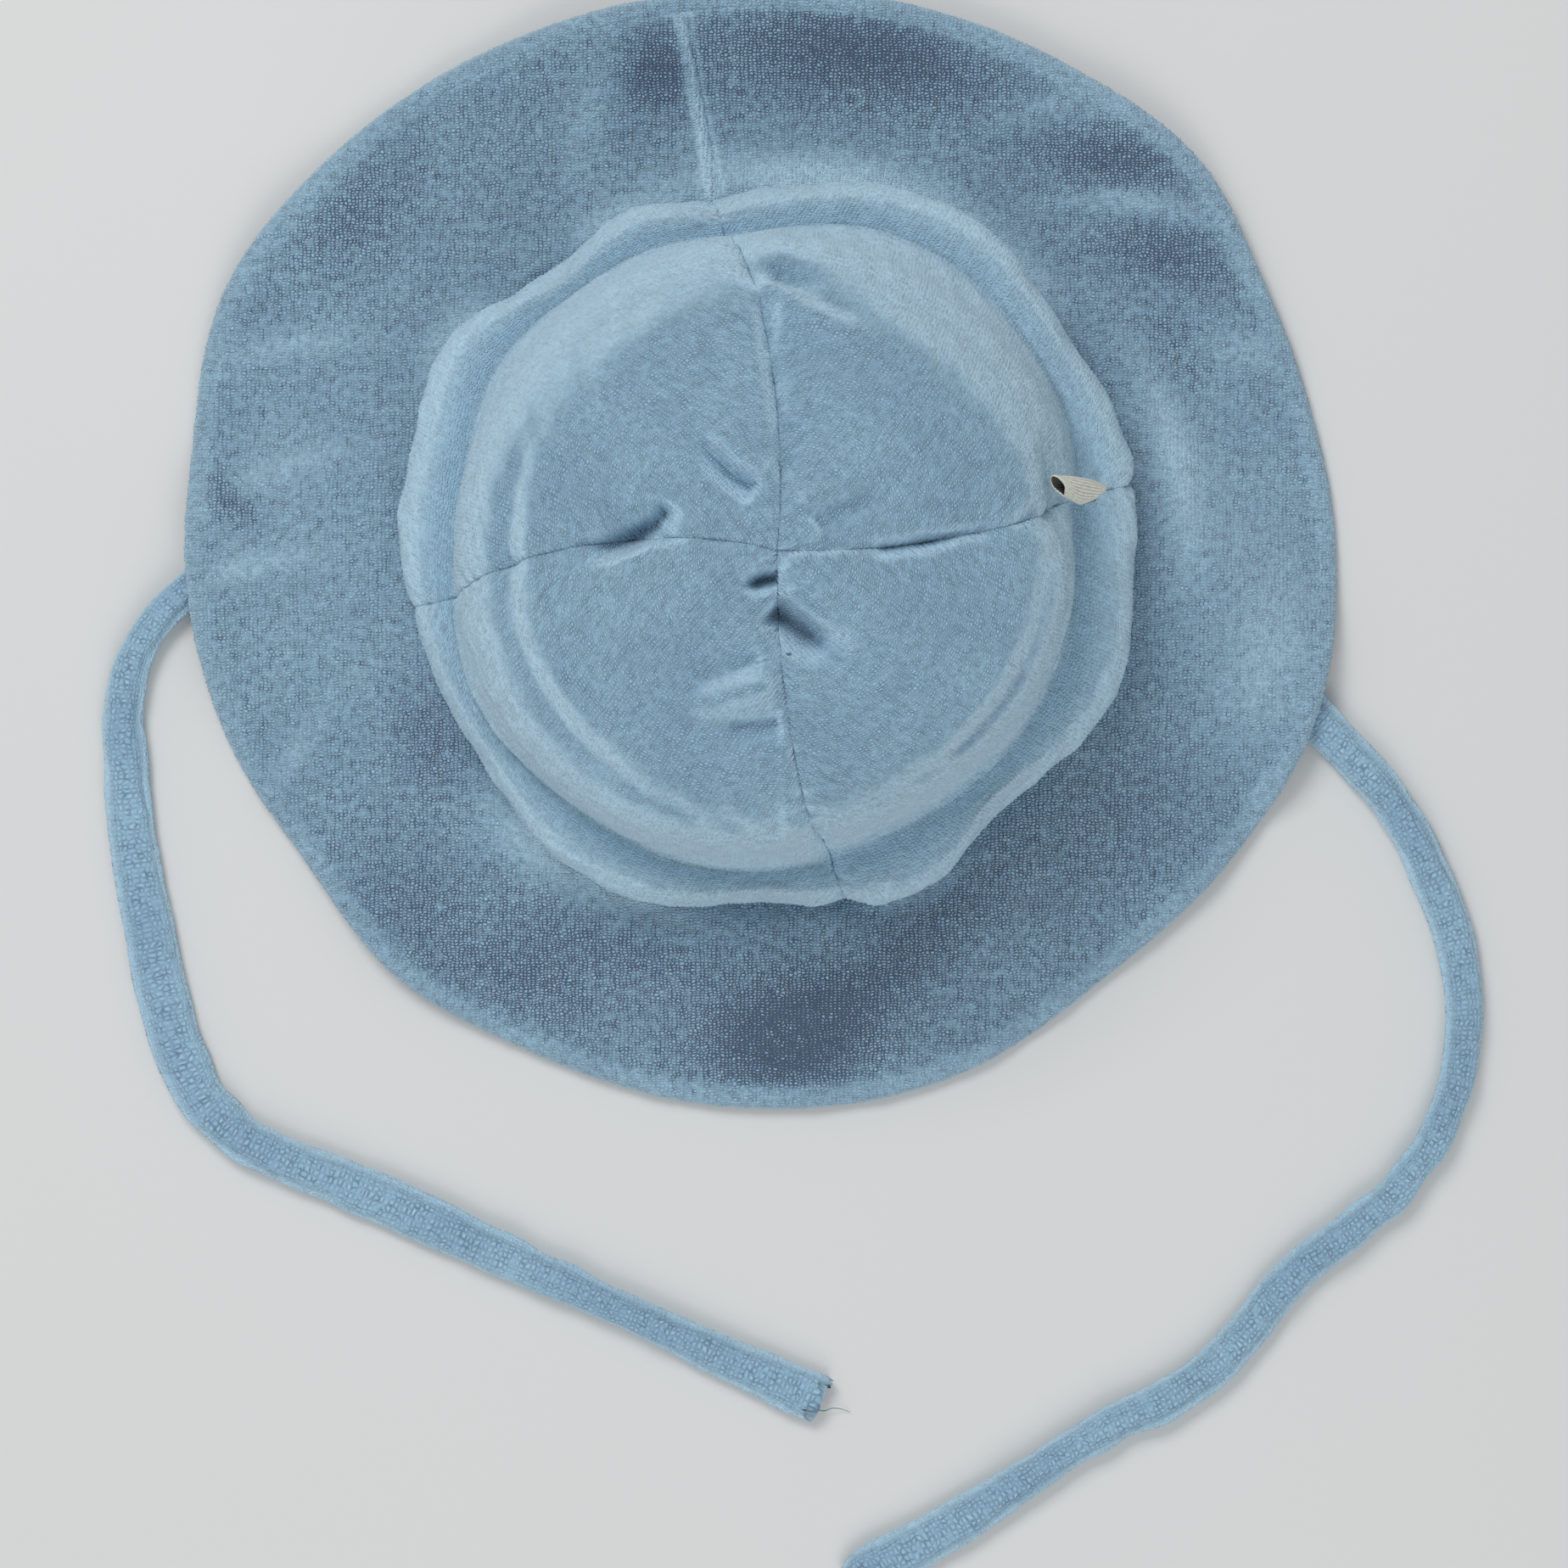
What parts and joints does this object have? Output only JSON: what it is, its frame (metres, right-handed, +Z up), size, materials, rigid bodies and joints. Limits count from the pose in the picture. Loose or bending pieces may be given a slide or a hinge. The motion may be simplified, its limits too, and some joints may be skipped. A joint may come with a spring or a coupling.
{
  "type": "sun hat",
  "caption": "Child's soft terry sun hat with a four-panel crown, a wide floppy brim, two tubular ties and a bare loop label.",
  "frame": {"origin": "on the surface that the hat rests on, below the middle of the brim's outline", "axes": "+Z up through the crown, -Y towards the hat's front, +X towards the wearer's left, which is right as seen from above with the front nearest"},
  "size_m": [0.3172, 0.3692, 0.077],
  "materials": {
    "blue_terry": "light blue looped terry towelling",
    "cream_tape": "woven cream tape"
  },
  "bodies": {
    "root": {"crown_panel_back_right": "blue_terry", "crown_panel_back_left": "blue_terry", "crown_panel_front_left": "blue_terry", "crown_panel_front_right": "blue_terry", "brim": "blue_terry", "tie_left": "blue_terry", "tie_right": "blue_terry", "side_label": "cream_tape"}
  },
  "joints": []
}
